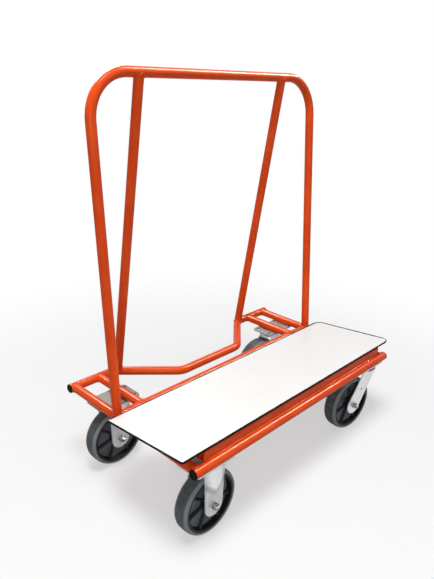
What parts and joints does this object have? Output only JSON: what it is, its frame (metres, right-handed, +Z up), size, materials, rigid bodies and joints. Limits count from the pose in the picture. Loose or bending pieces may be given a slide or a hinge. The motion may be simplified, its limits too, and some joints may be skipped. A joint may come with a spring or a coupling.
{
  "type": "sheet goods cart",
  "caption": "Welded tube cart with a low tilted deck, a leaning back hoop with braces, rigid casters at one end and swivel casters at the other, for moving sheet goods on edge.",
  "frame": {"origin": "on the floor, under the middle of the cart's outer box", "axes": "+Z up, +X along the deck towards the swivel casters, -Y towards the deck side, +Y towards the braces"},
  "size_m": [1.07, 0.62, 1.25],
  "materials": {
    "frame_paint": "gloss orange powder coat",
    "deck_laminate": "satin white laminate with a dark core at the edge",
    "end_cap": "moulded black",
    "caster_zinc": "bright zinc plate",
    "fastener_steel": "zinc-plated hardware",
    "wheel_core": "moulded dark grey",
    "wheel_tread": "hard grey rubber"
  },
  "bodies": {
    "frame": {"upright_hoop": "frame_paint", "left_brace": "frame_paint", "right_brace": "frame_paint", "rear_rail": "frame_paint", "middle_rail": "frame_paint", "front_rail": "frame_paint", "left_side_tube": "frame_paint", "right_side_tube": "frame_paint", "left_rear_stringer": "frame_paint", "right_rear_stringer": "frame_paint", "left_deck_crosstube": "frame_paint", "right_deck_crosstube": "frame_paint", "deck_support_tube": "frame_paint", "deck_board": "deck_laminate", "rear_rail_left_cap": "end_cap", "rear_rail_right_cap": "end_cap", "front_rail_left_cap": "end_cap", "front_rail_right_cap": "end_cap", "front_left_fork": "caster_zinc", "front_left_axle_bolt": "fastener_steel", "front_left_axle_nut": "fastener_steel", "front_left_axle_sleeve": "fastener_steel", "rear_left_fork": "caster_zinc", "rear_left_axle_bolt": "fastener_steel", "rear_left_axle_nut": "fastener_steel", "rear_left_axle_sleeve": "fastener_steel", "front_right_top_plate": "caster_zinc", "front_right_ball_race": "fastener_steel", "front_right_king_pin": "fastener_steel", "front_right_king_nut": "fastener_steel", "rear_right_top_plate": "caster_zinc", "rear_right_ball_race": "fastener_steel", "rear_right_king_pin": "fastener_steel", "rear_right_king_nut": "fastener_steel"},
    "front_left_wheel": {"front_left_wheel_bearing": "fastener_steel", "front_left_wheel_core": "wheel_core", "front_left_wheel_tread": "wheel_tread"},
    "rear_left_wheel": {"rear_left_wheel_bearing": "fastener_steel", "rear_left_wheel_core": "wheel_core", "rear_left_wheel_tread": "wheel_tread"},
    "front_right_yoke": {"front_right_swivel_fork": "caster_zinc", "front_right_axle_bolt": "fastener_steel", "front_right_axle_nut": "fastener_steel", "front_right_axle_sleeve": "fastener_steel"},
    "front_right_wheel": {"front_right_wheel_bearing": "fastener_steel", "front_right_wheel_core": "wheel_core", "front_right_wheel_tread": "wheel_tread"},
    "rear_right_yoke": {"rear_right_swivel_fork": "caster_zinc", "rear_right_axle_bolt": "fastener_steel", "rear_right_axle_nut": "fastener_steel", "rear_right_axle_sleeve": "fastener_steel"},
    "rear_right_wheel": {"rear_right_wheel_bearing": "fastener_steel", "rear_right_wheel_core": "wheel_core", "rear_right_wheel_tread": "wheel_tread"}
  },
  "joints": [
    {"name": "front_left_wheel_spin", "type": "hinge", "parent": "frame", "child": "front_left_wheel", "pos_m": [-0.41, -0.256, 0.1016], "axis": [0, 1, 0], "continuous": true},
    {"name": "rear_left_wheel_spin", "type": "hinge", "parent": "frame", "child": "rear_left_wheel", "pos_m": [-0.41, 0.1765, 0.1016], "axis": [0, 1, 0], "continuous": true},
    {"name": "front_right_swivel", "type": "hinge", "parent": "frame", "child": "front_right_yoke", "pos_m": [0.414, -0.256, 0.22], "axis": [0, 0, 1], "continuous": true},
    {"name": "front_right_wheel_spin", "type": "hinge", "parent": "front_right_yoke", "child": "front_right_wheel", "pos_m": [0.34239, -0.24847, 0.1016], "axis": [0.1045, 0.9945, 0], "continuous": true},
    {"name": "rear_right_swivel", "type": "hinge", "parent": "frame", "child": "rear_right_yoke", "pos_m": [0.414, 0.1765, 0.22], "axis": [0, 0, 1], "continuous": true},
    {"name": "rear_right_wheel_spin", "type": "hinge", "parent": "rear_right_yoke", "child": "rear_right_wheel", "pos_m": [0.34239, 0.18403, 0.1016], "axis": [0.1045, 0.9945, 0], "continuous": true}
  ]
}
